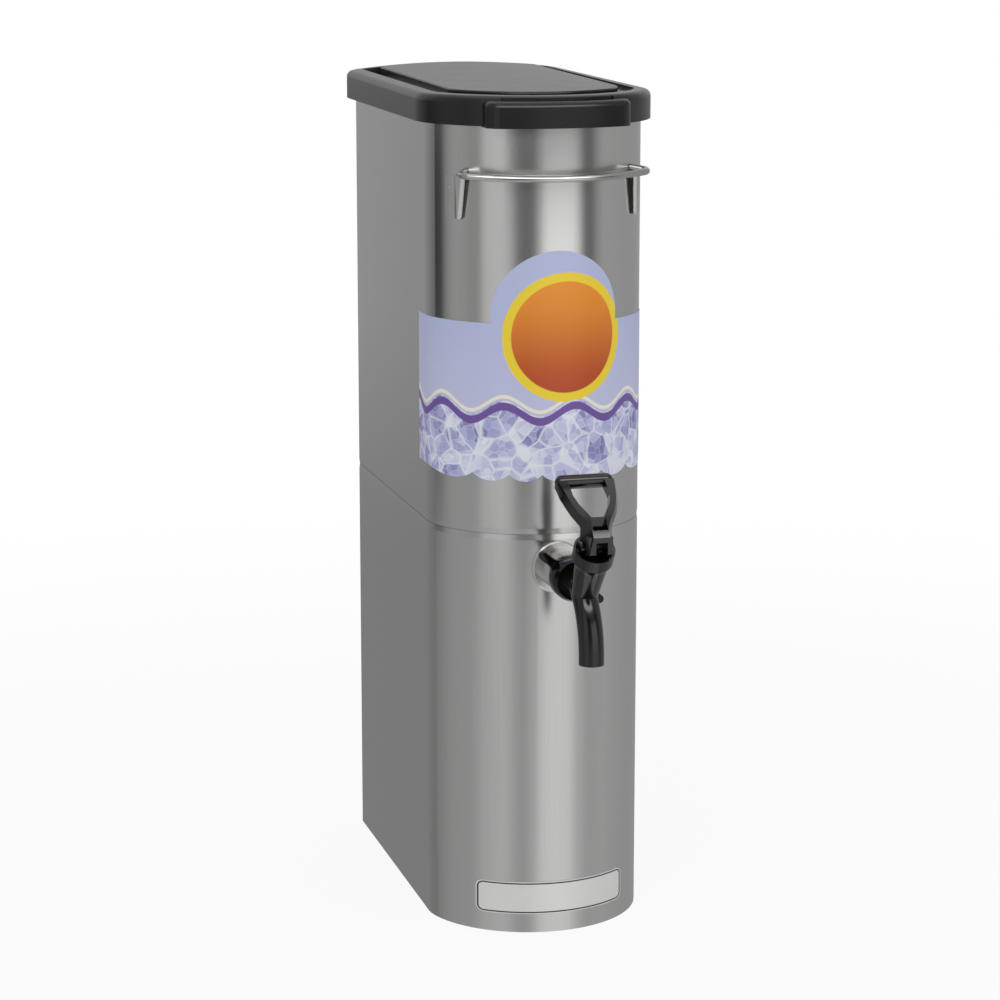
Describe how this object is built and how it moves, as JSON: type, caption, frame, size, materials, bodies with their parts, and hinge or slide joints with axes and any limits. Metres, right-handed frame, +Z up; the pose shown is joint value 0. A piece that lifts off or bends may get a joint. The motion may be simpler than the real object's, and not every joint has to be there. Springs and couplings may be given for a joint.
{
  "type": "iced tea dispenser",
  "caption": "Narrow stainless steel drink dispenser with a round front, a black lift-off lid, a bent carrying rod and a black lever tap with a wing nut.",
  "frame": {"origin": "centre of the base on the counter", "axes": "-Y is the front, where the tap is, +X is to the right seen from the front, +Z is up"},
  "size_m": [0.174, 0.4209, 0.6214],
  "materials": {
    "body_steel": "vertical brushed satin",
    "skirt_steel": "vertical brushed satin",
    "inner_steel": "satin",
    "fitting_steel": "polished",
    "rod_steel": "polished",
    "lid_plastic": "satin black",
    "label_film": "printed film",
    "plate_metal": "satin",
    "seal_rubber": "matt",
    "spring_steel": "plain",
    "nut_plastic": "gloss black",
    "tap_plastic": "gloss black",
    "stem_plastic": "black",
    "handle_plastic": "gloss black"
  },
  "bodies": {
    "tank": {"base_skirt": "skirt_steel", "tank_shell": "body_steel", "tank_floor": "inner_steel", "outlet_spigot": "fitting_steel", "handle_rod": "rod_steel", "bracket_left": "rod_steel", "bracket_right": "rod_steel", "front_label": "label_film", "nameplate": "plate_metal", "outlet_washer": "seal_rubber", "retaining_ring": "spring_steel", "wing_nut": "nut_plastic", "tap_body": "tap_plastic", "tap_bonnet": "tap_plastic", "tap_spring": "spring_steel"},
    "cover": {"lid": "lid_plastic"},
    "valve": {"tap_stem": "stem_plastic", "seat_cup": "seal_rubber"},
    "lever": {"tap_handle": "handle_plastic", "pivot_pin": "spring_steel"}
  },
  "joints": [
    {"name": "lid_lift", "type": "slide", "parent": "tank", "child": "cover", "axis": [0, 0, 1], "range_m": [0, 0.3]},
    {"name": "stem_lift", "type": "slide", "parent": "tank", "child": "valve", "axis": [0, -0.5299, 0.848], "range_m": [0, 0.004], "deforming": ["tap_spring"]},
    {"name": "handle_tilt", "type": "hinge", "parent": "valve", "child": "lever", "pos_m": [0, -0.24591, 0.31305], "axis": [1, 0, 0], "range_deg": [0, 42], "stiffness_Nm_per_rad": 0.15}
  ],
  "couplings": [
    {"joint": "stem_lift", "follows": "handle_tilt", "m_per_rad": 0.0054567}
  ]
}
